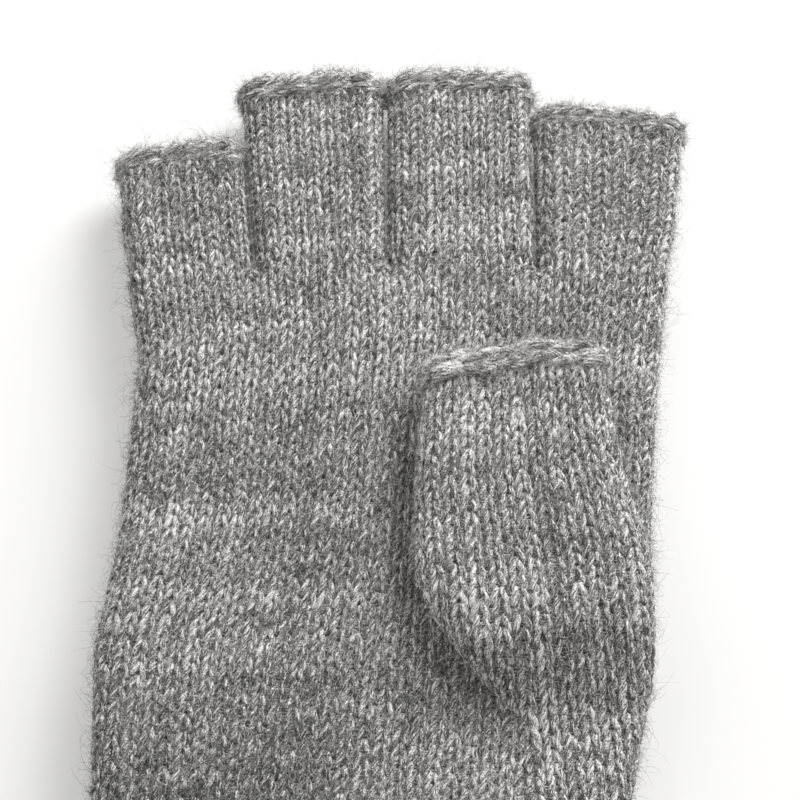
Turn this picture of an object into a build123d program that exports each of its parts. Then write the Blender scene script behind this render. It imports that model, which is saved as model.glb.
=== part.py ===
"""Right-hand convertible flip-top mitten, laid palm up with its flap folded open behind the hand.

Frame: +X towards the index finger and thumb, +Y towards the fingertips, +Z up out of the palm.
The origin is on the flap's flat underside, which the glove rests on. Millimetres throughout.
"""

from build123d import *
from math import cos, radians, sin, tan
import os

# Knit fabric and the room left inside a flat-lying tube
WALL = 1.8
BORE = 6.0
TUBE = BORE + 2 * WALL

# Levels, from the table up
FLAP_GAP = 0.6
BACK_PANEL_Z = WALL + FLAP_GAP
HINGE_Z = BACK_PANEL_Z + WALL / 2
SEAM_Z = 4.5
HAND_Z = 5.3
MID_Z = HAND_Z + TUBE / 2
PALM_Z = HAND_Z + TUBE
THUMB_Z = PALM_Z + 0.3

# Hand: wrist line, and the left and right side of the hand at stations along Y
WRIST_Y = -44.0
HAND_STATIONS = [
    (WRIST_Y, -41.2, 41.3),
    (-12.0, -45.2, 45.2),
    (8.0, -44.0, 44.2),
    (36.0, -45.4, 44.1),
    (70.0, -53.0, 45.4),
]
ROOT_GAP = 0.4
CROTCH_STITCH_RADIUS = 1.3
CROTCH_STITCH_BACK = 2.2

# Fingers: middle of the root, lean from +Y towards -X, length, width at root and at tip
FINGERS = {
    "little": ((-38.4, 57.7), 12.0, 26.0, 21.7, 21.2),
    "ring": ((-16.0, 61.7), 8.5, 40.0, 22.9, 24.6),
    "middle": ((8.8, 63.9), 5.0, 40.5, 26.0, 24.8),
    "index": ((33.5, 64.0), 1.0, 34.0, 22.4, 24.8),
}
FINGER_DROOP = 4.0
RIM_LENGTH = 3.5
RIM_PROUD = 0.3

# Thumb: middle of the rim, lean, and for each station along its axis the left, right and height
THUMB_TIP = (18.9, 41.2)
THUMB_LEAN = 10.0
THUMB_STATIONS = [
    (0.0, -15.3, 15.1, TUBE),
    (-22.4, -18.5, 15.8, TUBE),
    (-37.4, -20.2, 18.3, TUBE),
    (-50.4, -17.5, 17.0, 8.4),
    (-62.4, -9.0, 13.0, 5.4),
]
THUMB_RIM_LENGTH = 4.5
THUMB_RIM_PROUD = 0.2
THUMB_ROOT_WALL = 3.0
THUMB_HOLE_AT = -45.4
THUMB_HOLE_SIZE = (22.0, 15.0)

# Ribbed cuff, which slopes down from the wrist to the table
CUFF_END_Y = -103.0
CUFF_WIDTH = 80.0
CAST_ON_LENGTH = 3.0
CAST_ON_PROUD = 0.3

# Flap: hinge line across the back of the hand, then the outline of its two panels
HINGE_Y = 52.0
HINGE_TILT = 2.0
FLAP_LEFT = -45.0
FLAP_RIGHT = 44.5
FLAP_STRAIGHT_Y = -5.0
FLAP_TIP_Y = -43.0
FREE_EDGE = 6.0
RIB_BAND = 10.0
SEAM_WIDTH = 2.0
JOINING_SEAM_WIDTH = 2.4
JOINING_SEAM_LENGTH = 87.0

# Button on the back of the cuff, and the loop that holds the open flap to it
BUTTON_Y = -54.0
BUTTON_RADIUS = 7.5
BUTTON_THICK = 2.0
BUTTON_HOLE_RADIUS = 0.75
BUTTON_HOLE_PITCH = 3.0
BUTTON_Z = 0.5
BUTTON_CHAMFER = 0.5
BUTTON_DISH_RADIUS = 4.8
BUTTON_DISH_DEPTH = 0.5
THREAD_RADIUS = 0.55
THREAD_LAY = 0.4
LOOP_RADIUS = 0.6
LOOP_Z = 3.2
LOOP_TURN = 3.5
LOOP_TAIL = 1.0
ANCHOR_BAR_LENGTH = 4.5
ANCHOR_BAR_WIDTH = 1.0
ANCHOR_PITCH = 1.6
ANCHOR_HEIGHT = 0.6
ANCHOR_BACK = 4.0

# Reach of a cutting sketch, past every side of the glove
OVER = 100.0


def slot_tube(sections):
    """An open tube of wall thickness WALL, lofted through slots of (plane, width, height)."""
    with BuildPart() as tube:
        for plane, width, height in sections:
            with BuildSketch(plane):
                SlotOverall(width, height)
        loft()
        for plane, width, height in sections:
            with BuildSketch(plane):
                SlotOverall(width - 2 * WALL, height - 2 * WALL)
        loft(mode=Mode.SUBTRACT)
    return tube.part


def across(x, y, z, lean=0.0):
    """An upright plane across a limb that leans from +Y towards -X, its normal along the limb."""
    turn = radians(lean)
    return Plane(
        origin=(x, y, z),
        x_dir=(cos(turn), sin(turn), 0),
        z_dir=(-sin(turn), cos(turn), 0),
    )


def hinge_y(x, offset=0.0):
    """Y of the line that runs parallel to the flap's hinge, offset towards the wrist."""
    return HINGE_Y - offset + x * tan(radians(HINGE_TILT))


def flap_outline(inset=0.0, top=0.1):
    """The D-shaped outline of a flap panel, from its top line down to the round tip."""
    left = FLAP_LEFT + inset
    right = FLAP_RIGHT - inset
    with BuildSketch() as outline:
        with BuildLine():
            Line((left, hinge_y(left, top)), (right, hinge_y(right, top)))
            Line((right, hinge_y(right, top)), (right, FLAP_STRAIGHT_Y))
            EllipticalCenterArc(
                ((left + right) / 2, FLAP_STRAIGHT_Y),
                (right - left) / 2,
                FLAP_STRAIGHT_Y - FLAP_TIP_Y - inset,
                start_angle=180,
                arc_size=180,
            )
            Line((left, FLAP_STRAIGHT_Y), (left, hinge_y(left, top)))
        make_face()
    return outline.sketch


def band_below_hinge(first, last):
    """The strip of the XY plane between two lines parallel to the hinge."""
    with BuildSketch() as band:
        with BuildLine():
            Polyline(
                (-OVER, hinge_y(-OVER, first)),
                (OVER, hinge_y(OVER, first)),
                (OVER, hinge_y(OVER, last)),
                (-OVER, hinge_y(-OVER, last)),
                close=True,
            )
        make_face()
    return band.sketch


parts = {}

# Hand tube: a flat-lying knitted tube, open to the fingers and the wrist, with the thumb's hole
hand_sections = [
    (across((left + right) / 2, y, MID_Z), right - left, TUBE) for y, left, right in HAND_STATIONS
]
finger_corners = []
for (root_x, root_y), lean, length, root_width, tip_width in FINGERS.values():
    turn = radians(lean)
    middle = (root_x + ROOT_GAP * sin(turn), root_y - ROOT_GAP * cos(turn))
    half = root_width / 2 + ROOT_GAP / 2
    finger_corners.append((middle[0] - half * cos(turn), middle[1] - half * sin(turn)))
    finger_corners.append((middle[0] + half * cos(turn), middle[1] + half * sin(turn)))

thumb_turn = radians(THUMB_LEAN)
thumb_hole = (
    THUMB_TIP[0] - THUMB_HOLE_AT * sin(thumb_turn),
    THUMB_TIP[1] + THUMB_HOLE_AT * cos(thumb_turn),
)

hand_shell = slot_tube(hand_sections)
with BuildPart() as hand_tube:
    add(hand_shell)
    with BuildSketch(Plane.XY):
        with BuildLine():
            Polyline(
                (-OVER, finger_corners[0][1]),
                *finger_corners,
                (OVER, finger_corners[-1][1]),
                (OVER, OVER),
                (-OVER, OVER),
                close=True,
            )
        make_face()
    extrude(amount=OVER, mode=Mode.SUBTRACT)
    with BuildSketch(Plane.XY.offset(PALM_Z - WALL - 1)):
        with Locations(thumb_hole):
            Ellipse(THUMB_HOLE_SIZE[0] / 2, THUMB_HOLE_SIZE[1] / 2, rotation=THUMB_LEAN)
    extrude(amount=WALL + 2, mode=Mode.SUBTRACT)
hand_tube.part.label = "hand_tube"
parts["hand_tube"] = hand_tube

# Stitches that close the crotches, from the palm fabric to the back fabric
with BuildPart() as finger_crotch_stitches:
    with BuildSketch(Plane.XY.offset(HAND_Z + WALL)):
        for right_of_one, left_of_next in zip(finger_corners[1:-1:2], finger_corners[2::2]):
            with Locations(
                (
                    (right_of_one[0] + left_of_next[0]) / 2,
                    min(right_of_one[1], left_of_next[1]) - CROTCH_STITCH_BACK,
                )
            ):
                Circle(CROTCH_STITCH_RADIUS)
    extrude(amount=BORE)
finger_crotch_stitches.part.label = "finger_crotch_stitches"
parts["finger_crotch_stitches"] = finger_crotch_stitches

# Finger tubes and their bound-off rims
for name, ((root_x, root_y), lean, length, root_width, tip_width) in FINGERS.items():
    turn = radians(lean)
    tube_length = length - RIM_LENGTH
    rim_x = root_x - tube_length * sin(turn)
    rim_y = root_y + tube_length * cos(turn)
    rim_z = MID_Z - tube_length * tan(radians(FINGER_DROOP))
    rim_plane = across(rim_x, rim_y, rim_z, lean)
    root_plane = across(root_x, root_y, MID_Z, lean)
    shell = slot_tube([(root_plane, root_width, TUBE), (rim_plane, tip_width, TUBE)])
    with BuildPart() as finger_tube:
        add(shell)
    finger_tube.part.label = f"{name}_finger_tube"
    parts[f"{name}_finger_tube"] = finger_tube
    with BuildPart() as finger_rim:
        with BuildSketch(rim_plane):
            SlotOverall(tip_width + RIM_PROUD, TUBE + 2 * RIM_PROUD)
            SlotOverall(tip_width - 2 * WALL, BORE, mode=Mode.SUBTRACT)
        extrude(amount=RIM_LENGTH)
    finger_rim.part.label = f"{name}_finger_rim"
    parts[f"{name}_finger_rim"] = finger_rim


# Thumb: a tube folded over the palm, open at its rim and through the hole at its root
def thumb_plane(along, left, right, height):
    """The plane of a thumb section at a station along the thumb's axis."""
    side = (left + right) / 2
    return across(
        THUMB_TIP[0] - along * sin(thumb_turn) + side * cos(thumb_turn),
        THUMB_TIP[1] + along * cos(thumb_turn) + side * sin(thumb_turn),
        THUMB_Z + height / 2,
        THUMB_LEAN,
    )


tip_section = THUMB_STATIONS[0]
root_section = THUMB_STATIONS[-1]
tube_stations = [(-THUMB_RIM_LENGTH, *tip_section[1:])] + THUMB_STATIONS[1:]
with BuildPart() as thumb_tube:
    for along, left, right, height in tube_stations:
        with BuildSketch(thumb_plane(along, left, right, height)):
            SlotOverall(right - left, height)
    loft()
    inner_root = (root_section[0] + THUMB_ROOT_WALL, *root_section[1:])
    for along, left, right, height in tube_stations[:-1] + [inner_root]:
        with BuildSketch(thumb_plane(along, left, right, height)):
            SlotOverall(right - left - 2 * WALL, height - 2 * WALL)
    loft(mode=Mode.SUBTRACT)
    with BuildSketch(Plane.XY.offset(THUMB_Z - 1)):
        with Locations(thumb_hole):
            Ellipse(THUMB_HOLE_SIZE[0] / 2, THUMB_HOLE_SIZE[1] / 2, rotation=THUMB_LEAN)
    extrude(amount=WALL + 2, mode=Mode.SUBTRACT)
thumb_tube.part.label = "thumb_tube"
parts["thumb_tube"] = thumb_tube

thumb_rim_width = tip_section[2] - tip_section[1]
with BuildPart() as thumb_rim:
    with BuildSketch(thumb_plane(-THUMB_RIM_LENGTH, *tip_section[1:])):
        SlotOverall(thumb_rim_width + 2 * THUMB_RIM_PROUD, TUBE + 2 * THUMB_RIM_PROUD)
        SlotOverall(thumb_rim_width - 2 * WALL, BORE, mode=Mode.SUBTRACT)
    extrude(amount=THUMB_RIM_LENGTH)
thumb_rim.part.label = "thumb_rim"
parts["thumb_rim"] = thumb_rim

# Ribbed cuff and its cast-on edge, which rests on the table
wrist_width = HAND_STATIONS[0][2] - HAND_STATIONS[0][1]
wrist_x = (HAND_STATIONS[0][2] + HAND_STATIONS[0][1]) / 2
cuff_end_z = TUBE / 2 + CAST_ON_PROUD
wrist_plane = Plane(origin=(wrist_x, WRIST_Y, MID_Z), x_dir=(1, 0, 0), z_dir=(0, -1, 0))
cuff_end_plane = Plane(origin=(wrist_x, CUFF_END_Y, cuff_end_z), x_dir=(1, 0, 0), z_dir=(0, -1, 0))
cuff_shell = slot_tube([(wrist_plane, wrist_width, TUBE), (cuff_end_plane, CUFF_WIDTH, TUBE)])
with BuildPart() as wrist_rib_cuff:
    add(cuff_shell)
wrist_rib_cuff.part.label = "wrist_rib_cuff"
parts["wrist_rib_cuff"] = wrist_rib_cuff

with BuildPart() as cuff_cast_on_edge:
    with BuildSketch(cuff_end_plane):
        SlotOverall(CUFF_WIDTH + 2 * CAST_ON_PROUD, TUBE + 2 * CAST_ON_PROUD)
        SlotOverall(CUFF_WIDTH - 2 * WALL, BORE, mode=Mode.SUBTRACT)
    extrude(amount=CAST_ON_LENGTH)
cuff_cast_on_edge.part.label = "cuff_cast_on_edge"
parts["cuff_cast_on_edge"] = cuff_cast_on_edge

# Seam that joins the flap to the back of the hand, just above the hinge line
with BuildPart() as flap_joining_seam:
    with BuildSketch(Plane.XY.offset(SEAM_Z)):
        add(band_below_hinge(-JOINING_SEAM_WIDTH / 2, JOINING_SEAM_WIDTH / 2))
        Rectangle(JOINING_SEAM_LENGTH, 2 * OVER, mode=Mode.INTERSECT)
    extrude(amount=HAND_Z - SEAM_Z)
flap_joining_seam.part.label = "flap_joining_seam"
parts["flap_joining_seam"] = flap_joining_seam

# Flap panels: the back panel turns on the hinge line, the palm panel lies under it
with BuildPart() as flap_back_panel:
    with BuildSketch(Plane.XY.offset(BACK_PANEL_Z)):
        add(flap_outline())
    extrude(amount=WALL)
flap_back_panel.part.label = "flap_back_panel"
parts["flap_back_panel"] = flap_back_panel

with BuildPart() as flap_palm_panel:
    with BuildSketch(Plane.XY):
        add(flap_outline(top=FREE_EDGE + RIB_BAND))
    extrude(amount=WALL)
flap_palm_panel.part.label = "flap_palm_panel"
parts["flap_palm_panel"] = flap_palm_panel

with BuildPart() as flap_rib_band:
    with BuildSketch(Plane.XY):
        add(flap_outline())
        add(band_below_hinge(FREE_EDGE, FREE_EDGE + RIB_BAND), mode=Mode.INTERSECT)
    extrude(amount=WALL)
flap_rib_band.part.label = "flap_rib_band"
parts["flap_rib_band"] = flap_rib_band

# Where the fabric turns from one panel to the other: the two straight sides, then the tip seam
with BuildPart() as flap_side_folds:
    with BuildSketch(Plane.XY.offset(WALL)):
        add(flap_outline(top=FREE_EDGE))
        with Locations(((FLAP_LEFT + FLAP_RIGHT) / 2, FLAP_STRAIGHT_Y)):
            Rectangle(FLAP_RIGHT - FLAP_LEFT - 2 * SEAM_WIDTH, OVER, mode=Mode.SUBTRACT)
        with Locations((0, FLAP_STRAIGHT_Y)):
            Rectangle(OVER, OVER, align=(Align.CENTER, Align.MAX), mode=Mode.SUBTRACT)
    extrude(amount=FLAP_GAP)
flap_side_folds.part.label = "flap_side_folds"
parts["flap_side_folds"] = flap_side_folds

with BuildPart() as flap_tip_seam:
    with BuildSketch(Plane.XY.offset(WALL)):
        add(flap_outline())
        add(flap_outline(inset=SEAM_WIDTH), mode=Mode.SUBTRACT)
        with Locations((0, FLAP_STRAIGHT_Y)):
            Rectangle(OVER, OVER, align=(Align.CENTER, Align.MIN), mode=Mode.SUBTRACT)
    extrude(amount=FLAP_GAP)
flap_tip_seam.part.label = "flap_tip_seam"
parts["flap_tip_seam"] = flap_tip_seam

# Button and its thread, hung under the sloping back of the cuff
button_plane = Plane.XY.offset(BUTTON_Z)
with BuildPart() as button:
    with BuildSketch(button_plane):
        with Locations((0, BUTTON_Y)):
            Circle(BUTTON_RADIUS)
            with GridLocations(BUTTON_HOLE_PITCH, BUTTON_HOLE_PITCH, 2, 2):
                Circle(BUTTON_HOLE_RADIUS, mode=Mode.SUBTRACT)
    extrude(amount=BUTTON_THICK)
    with BuildSketch(button_plane):
        with Locations((0, BUTTON_Y)):
            Circle(BUTTON_DISH_RADIUS)
    extrude(amount=BUTTON_DISH_DEPTH, mode=Mode.SUBTRACT)
    rims = button.edges().filter_by(GeomType.CIRCLE).sort_by(SortBy.LENGTH)[-2:]
    chamfer(rims, BUTTON_CHAMFER)
button.part.label = "button"
parts["button"] = button

thread_plane = Plane.XY.offset(BUTTON_Z + BUTTON_DISH_DEPTH)
with BuildPart() as button_thread:
    with BuildSketch(thread_plane):
        with Locations((0, BUTTON_Y)):
            with GridLocations(BUTTON_HOLE_PITCH, BUTTON_HOLE_PITCH, 2, 2):
                Circle(THREAD_RADIUS)
    extrude(amount=HAND_Z)
    add(wrist_rib_cuff.part, mode=Mode.SUBTRACT)
    with BuildSketch(thread_plane):
        with Locations((0, BUTTON_Y)):
            with GridLocations(BUTTON_HOLE_PITCH, 0, 2, 1):
                SlotOverall(BUTTON_HOLE_PITCH + 2 * THREAD_RADIUS, 2 * THREAD_RADIUS, rotation=90)
    extrude(amount=-THREAD_LAY)
button_thread.part.label = "button_thread"
parts["button_thread"] = button_thread

# Loop at the flap's tip, round the thread behind the button
with BuildPart() as button_loop:
    with BuildLine(Plane.XY.offset(LOOP_Z)) as route:
        down = Line((-LOOP_TURN, FLAP_TIP_Y + LOOP_TAIL), (-LOOP_TURN, BUTTON_Y))
        turn_round = JernArc(down @ 1, (0, -1), LOOP_TURN, 180)
        Line(turn_round @ 1, (LOOP_TURN, FLAP_TIP_Y + LOOP_TAIL))
    with BuildSketch(Plane(origin=down @ 0, z_dir=down % 0)):
        Circle(LOOP_RADIUS)
    sweep()
    add(flap_back_panel.part, mode=Mode.SUBTRACT)
button_loop.part.label = "button_loop"
parts["button_loop"] = button_loop

with BuildPart() as loop_anchor_stitch:
    with BuildSketch(Plane.XY.offset(BACK_PANEL_Z + WALL)):
        with Locations((0, FLAP_TIP_Y + ANCHOR_BACK)):
            with GridLocations(ANCHOR_PITCH, 0, 3, 1):
                SlotOverall(ANCHOR_BAR_LENGTH, ANCHOR_BAR_WIDTH, rotation=90)
    extrude(amount=ANCHOR_HEIGHT)
loop_anchor_stitch.part.label = "loop_anchor_stitch"
parts["loop_anchor_stitch"] = loop_anchor_stitch

os.makedirs("parts", exist_ok=True)
for name, piece in parts.items():
    export_step(piece.part, f"parts/{name}.step")
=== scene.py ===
from math import cos, pi, radians, sin, sqrt, tan

import bpy
import numpy as np
from mathutils import Matrix, Vector


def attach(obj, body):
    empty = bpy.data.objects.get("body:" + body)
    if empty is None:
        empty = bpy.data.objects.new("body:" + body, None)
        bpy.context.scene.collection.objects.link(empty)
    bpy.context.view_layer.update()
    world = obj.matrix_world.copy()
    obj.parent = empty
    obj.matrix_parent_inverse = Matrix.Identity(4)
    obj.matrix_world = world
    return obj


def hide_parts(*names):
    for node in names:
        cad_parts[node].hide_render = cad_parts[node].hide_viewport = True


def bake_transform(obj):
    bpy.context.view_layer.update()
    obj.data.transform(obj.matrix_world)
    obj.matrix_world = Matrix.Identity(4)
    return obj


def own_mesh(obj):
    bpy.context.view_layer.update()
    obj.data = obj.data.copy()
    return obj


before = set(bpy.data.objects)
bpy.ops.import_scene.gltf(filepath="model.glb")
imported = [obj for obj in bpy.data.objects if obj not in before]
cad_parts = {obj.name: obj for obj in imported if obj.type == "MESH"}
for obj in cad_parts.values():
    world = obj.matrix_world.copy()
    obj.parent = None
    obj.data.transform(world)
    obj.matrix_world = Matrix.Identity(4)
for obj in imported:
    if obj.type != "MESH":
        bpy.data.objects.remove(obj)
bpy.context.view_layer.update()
MM = 0.001

# ---- camera

LOOK_AT = Vector((0.5, 34.4, 14.0)) * MM
CAMERA_TILT = radians(27.0)
CAMERA_TURN = radians(5.0)
CAMERA_DISTANCE = 365.0 * MM
IMAGE_SIZE = 800
PIXELS_PER_MM = 5.9


def add_camera():
    """Looks down on the palm from the wrist's side, tilted off the vertical and turned a little."""
    data = bpy.data.cameras.new("camera")
    data.sensor_width = 36.0
    data.lens = data.sensor_width * PIXELS_PER_MM * CAMERA_DISTANCE / MM / IMAGE_SIZE
    camera = bpy.data.objects.new("camera", data)
    bpy.context.scene.collection.objects.link(camera)
    ahead = Vector((-sin(CAMERA_TURN), cos(CAMERA_TURN), 0))
    away = Vector((0, 0, cos(CAMERA_TILT))) - ahead * sin(CAMERA_TILT)
    up = Vector((0, 0, sin(CAMERA_TILT))) + ahead * cos(CAMERA_TILT)
    right = up.cross(away)
    camera.location = LOOK_AT + away * CAMERA_DISTANCE
    camera.rotation_euler = Matrix((right, up, away)).transposed().to_euler()
    bpy.context.scene.camera = camera


add_camera()

# ---- sizes in mm, angles in degrees

WALL = 1.8
BORE = 6.0
TUBE = BORE + 2 * WALL
HAND_Z = 5.3
MID_Z = HAND_Z + TUBE / 2
PALM_Z = HAND_Z + TUBE
THUMB_Z = PALM_Z + 0.3
WRIST_Y = -44.0
# y, left edge, right edge
HAND_STATIONS = [
    (-44.0, -41.2, 41.3),
    (-12.0, -45.2, 45.2),
    (8.0, -44.0, 44.2),
    (36.0, -45.2, 44.3),
    (46.0, -45.9, 44.7),
    (56.0, -48.5, 45.3),
    (70.0, -51.5, 46.0),
]
# middle of the root, lean to the little finger's side, length, width at the root, width at the tip
FINGERS = {
    "little": ((-38.4, 57.7), 12.0, 26.0, 21.7, 21.2),
    "ring": ((-16.0, 61.7), 8.5, 40.0, 22.9, 24.6),
    "middle": ((8.8, 63.9), 5.0, 40.5, 26.0, 24.8),
    "index": ((33.5, 64.0), 1.0, 34.0, 22.4, 24.8),
}
FINGER_DROOP = 4.0
RIM_LENGTH = 3.5
THUMB_TIP = (18.9, 41.2)
THUMB_LEAN = 10.0
THUMB_RIM_LENGTH = 4.5
THUMB_HOLE_AT = -45.4
THUMB_HOLE_HALF_WIDTH = 11.0
THUMB_HOLE_HALF_HEIGHT = 7.5
CUFF_END_Y = -103.0
CUFF_END_Z = TUBE / 2 + 0.3
CUFF_WIDTH = 80.0
CUFF_RISE = 5.0
HINGE_Y = 52.0
HINGE_TILT = 2.0
HINGE_Z = 3.3
SEAM_Z = 4.9
FLAP_LEFT = -45.0
FLAP_RIGHT = 44.5
FLAP_STRAIGHT_Y = -5.0
FLAP_TIP_Y = -43.0
FREE_EDGE = 6.0
RIB_BAND = 10.0
POCKET_OPEN = 11.0
BUTTON_Y = -54.0
BUTTON_Z = 0.5
BUTTON_DISH_DEPTH = 0.5
LOOP_Z = 3.2
LOOP_TURN = 3.5

# ---- materials

SPECK_SHARE = 0.55
GRAIN_MEAN = 0.775
GRAIN_CONTRAST = 2.9


def new_material(name):
    material = bpy.data.materials.new(name)
    material.use_nodes = True
    tree = material.node_tree
    return material, tree.nodes, tree.links, tree.nodes["Principled BSDF"]


def set_inputs(node, values):
    for name, value in values.items():
        node.inputs[name].default_value = value
    return node


def connect(links, *wires):
    """Each wire is a node and its output, then a node and its input."""
    for source, output, target, socket in wires:
        links.new(source.outputs[output], target.inputs[socket])


def wool(name, stops, sheen=0.35):
    """Marled wool: the yarn's tone, which on the knit also holds painted shade and painted light, then fine
    fibres that run along it in a slow twist.
    """
    material, nodes, links, shader = new_material(name)
    tone = nodes.new("ShaderNodeAttribute")
    tone.attribute_name = "yarn_tone"
    along = nodes.new("ShaderNodeAttribute")
    along.attribute_name = "yarn"
    stretch = set_inputs(nodes.new("ShaderNodeMapping"), {"Scale": (0.55, 3.4, 3.4)})
    fibre = set_inputs(nodes.new("ShaderNodeTexNoise"), {"Scale": 1.0, "Detail": 3.0, "Roughness": 0.6})
    speck = set_inputs(nodes.new("ShaderNodeTexNoise"), {"Scale": 4.5, "Detail": 1.0})
    grain = set_inputs(nodes.new("ShaderNodeMath"), {1: SPECK_SHARE})
    grain.operation = "MULTIPLY_ADD"
    spread = set_inputs(nodes.new("ShaderNodeMath"), {1: GRAIN_CONTRAST, 2: -GRAIN_MEAN * GRAIN_CONTRAST})
    spread.operation = "MULTIPLY_ADD"
    mix = nodes.new("ShaderNodeMath")
    mix.operation = "ADD"
    ramp = nodes.new("ShaderNodeValToRGB")
    while len(ramp.color_ramp.elements) < len(stops):
        ramp.color_ramp.elements.new(0.5)
    for element, (position, grey, warmth) in zip(ramp.color_ramp.elements, stops):
        element.position = position
        element.color = (grey * (1 + warmth), grey, grey * (1 - warmth), 1)
    bumps = set_inputs(nodes.new("ShaderNodeBump"), {"Strength": 0.5, "Distance": 0.0002})
    set_inputs(shader, {"Roughness": 0.95, "Specular IOR Level": 0.15})
    set_inputs(shader, {"Sheen Weight": sheen, "Sheen Roughness": 0.6})
    connect(
        links,
        (along, "Vector", stretch, "Vector"),
        (stretch, "Vector", fibre, "Vector"),
        (along, "Vector", speck, "Vector"),
        (speck, "Fac", grain, 0),
        (fibre, "Fac", grain, 2),
        (grain, "Value", spread, 0),
        (tone, "Fac", mix, 0),
        (spread, "Value", mix, 1),
        (mix, "Value", ramp, "Fac"),
        (ramp, "Color", shader, "Base Color"),
        (fibre, "Fac", bumps, "Height"),
        (bumps, "Normal", shader, "Normal"),
    )
    return material


def fibre_grey(name, grey):
    """One loose fibre is thinner than any change of its colour, so it is plain."""
    material, _, _, shader = new_material(name)
    set_inputs(shader, {"Base Color": (grey, grey, grey, 1), "Roughness": 0.9, "Specular IOR Level": 0.15})
    return material


def horn(name):
    """Dark, grained, slightly polished horn."""
    material, nodes, links, shader = new_material(name)
    place = nodes.new("ShaderNodeTexCoord")
    grain = set_inputs(nodes.new("ShaderNodeTexNoise"), {"Scale": 260.0, "Detail": 4.0, "Distortion": 1.6})
    ramp = nodes.new("ShaderNodeValToRGB")
    dark, light = ramp.color_ramp.elements
    dark.position = 0.35
    dark.color = (0.012, 0.012, 0.013, 1)
    light.position = 0.75
    light.color = (0.11, 0.10, 0.095, 1)
    connect(
        links,
        (place, "Object", grain, "Vector"),
        (grain, "Fac", ramp, "Fac"),
        (ramp, "Color", shader, "Base Color"),
    )
    set_inputs(shader, {"Roughness": 0.3, "Coat Weight": 0.3, "Coat Roughness": 0.15})
    return material


# position on the ramp, grey, warmth
WOOL = wool("wool_marl", [(0.0, 0.025, -0.01), (0.3, 0.10, 0.0), (0.55, 0.28, 0.012), (0.9, 0.85, 0.02)])
THREAD = wool("sewing_thread", [(0.0, 0.03, 0.0), (0.5, 0.09, 0.0), (1.0, 0.25, 0.0)], sheen=0.2)
FIBRES = [fibre_grey("fibre_dark", 0.035), fibre_grey("fibre_mid", 0.28), fibre_grey("fibre_light", 0.85)]

# ---- yarn

WOOL_TONE = 0.44
LINING_TONE = 0.36
FIBRE_TWIST = 0.9
YARN_MAP_STEP = 41.7
ROW_MAP_STEP = 3.3
CUT_END = 0.3
LINING_TOP = 0.12
LINING_THICK = 0.3
LINING_STEPS = 2
FIBRE_THICK = 0.022
FLOOR_GAP = 0.02


def unit(vectors):
    return vectors / (np.linalg.norm(vectors, axis=-1, keepdims=True) + 1e-12)


def smooth(x):
    x = np.clip(x, 0, 1)
    return x * x * (3 - 2 * x)


def smooth_noise(shape, cells, seed):
    """Smooth random values of zero mean and about unit spread on a grid, with a period per axis."""
    local = np.random.default_rng(seed)
    values = local.normal(size=[int(np.ceil(n / cell)) + 2 for n, cell in zip(shape, cells)])
    for axis, (n, cell) in enumerate(zip(shape, cells)):
        at = np.arange(n) / cell
        index = at.astype(int)
        share = smooth(at - index).reshape([-1 if k == axis else 1 for k in range(len(shape))])
        before = np.take(values, index, axis=axis) * (1 - share)
        values = before + np.take(values, index + 1, axis=axis) * share
    return values


def yarn_tone(rows, count, seed):
    """Tone along each yarn: broad streaks, short ones, and slow drifts over many rows."""
    tone = WOOL_TONE + 0.045 * smooth_noise((rows, count), (1, 70), seed)
    tone += 0.06 * smooth_noise((rows, count), (1, 4), seed + 1)
    return tone + 0.04 * smooth_noise((rows, count), (3, 160), seed + 2)


def rings_round(centre, side, up, radius, sides):
    """Points round each sample of some lines."""
    angle = 2 * pi * np.arange(sides) / sides
    return centre[:, :, None] + radius[..., None, None] * (
        np.cos(angle)[:, None] * side[:, :, None] + np.sin(angle)[:, None] * up[:, :, None]
    )


def faces_between(here, ahead):
    """The faces that join rings of points to the next ones."""
    return np.stack([here, np.roll(here, -1, 2), np.roll(ahead, -1, 2), ahead], -1)


def new_mesh(name, points, quads):
    """A mesh of quads from points in mm."""
    mesh = bpy.data.meshes.new(name)
    mesh.vertices.add(len(points))
    mesh.vertices.foreach_set("co", (points * MM).astype(np.float32).ravel())
    mesh.loops.add(quads.size)
    mesh.loops.foreach_set("vertex_index", quads.astype(np.int32).ravel())
    mesh.polygons.add(len(quads))
    mesh.polygons.foreach_set("loop_start", (np.arange(len(quads)) * 4).astype(np.int32))
    mesh.update(calc_edges=True)
    return mesh


def new_piece(name, mesh, materials):
    for material in materials:
        mesh.materials.append(material)
    piece = bpy.data.objects.new(name, mesh)
    bpy.context.scene.collection.objects.link(piece)
    return piece


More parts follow.
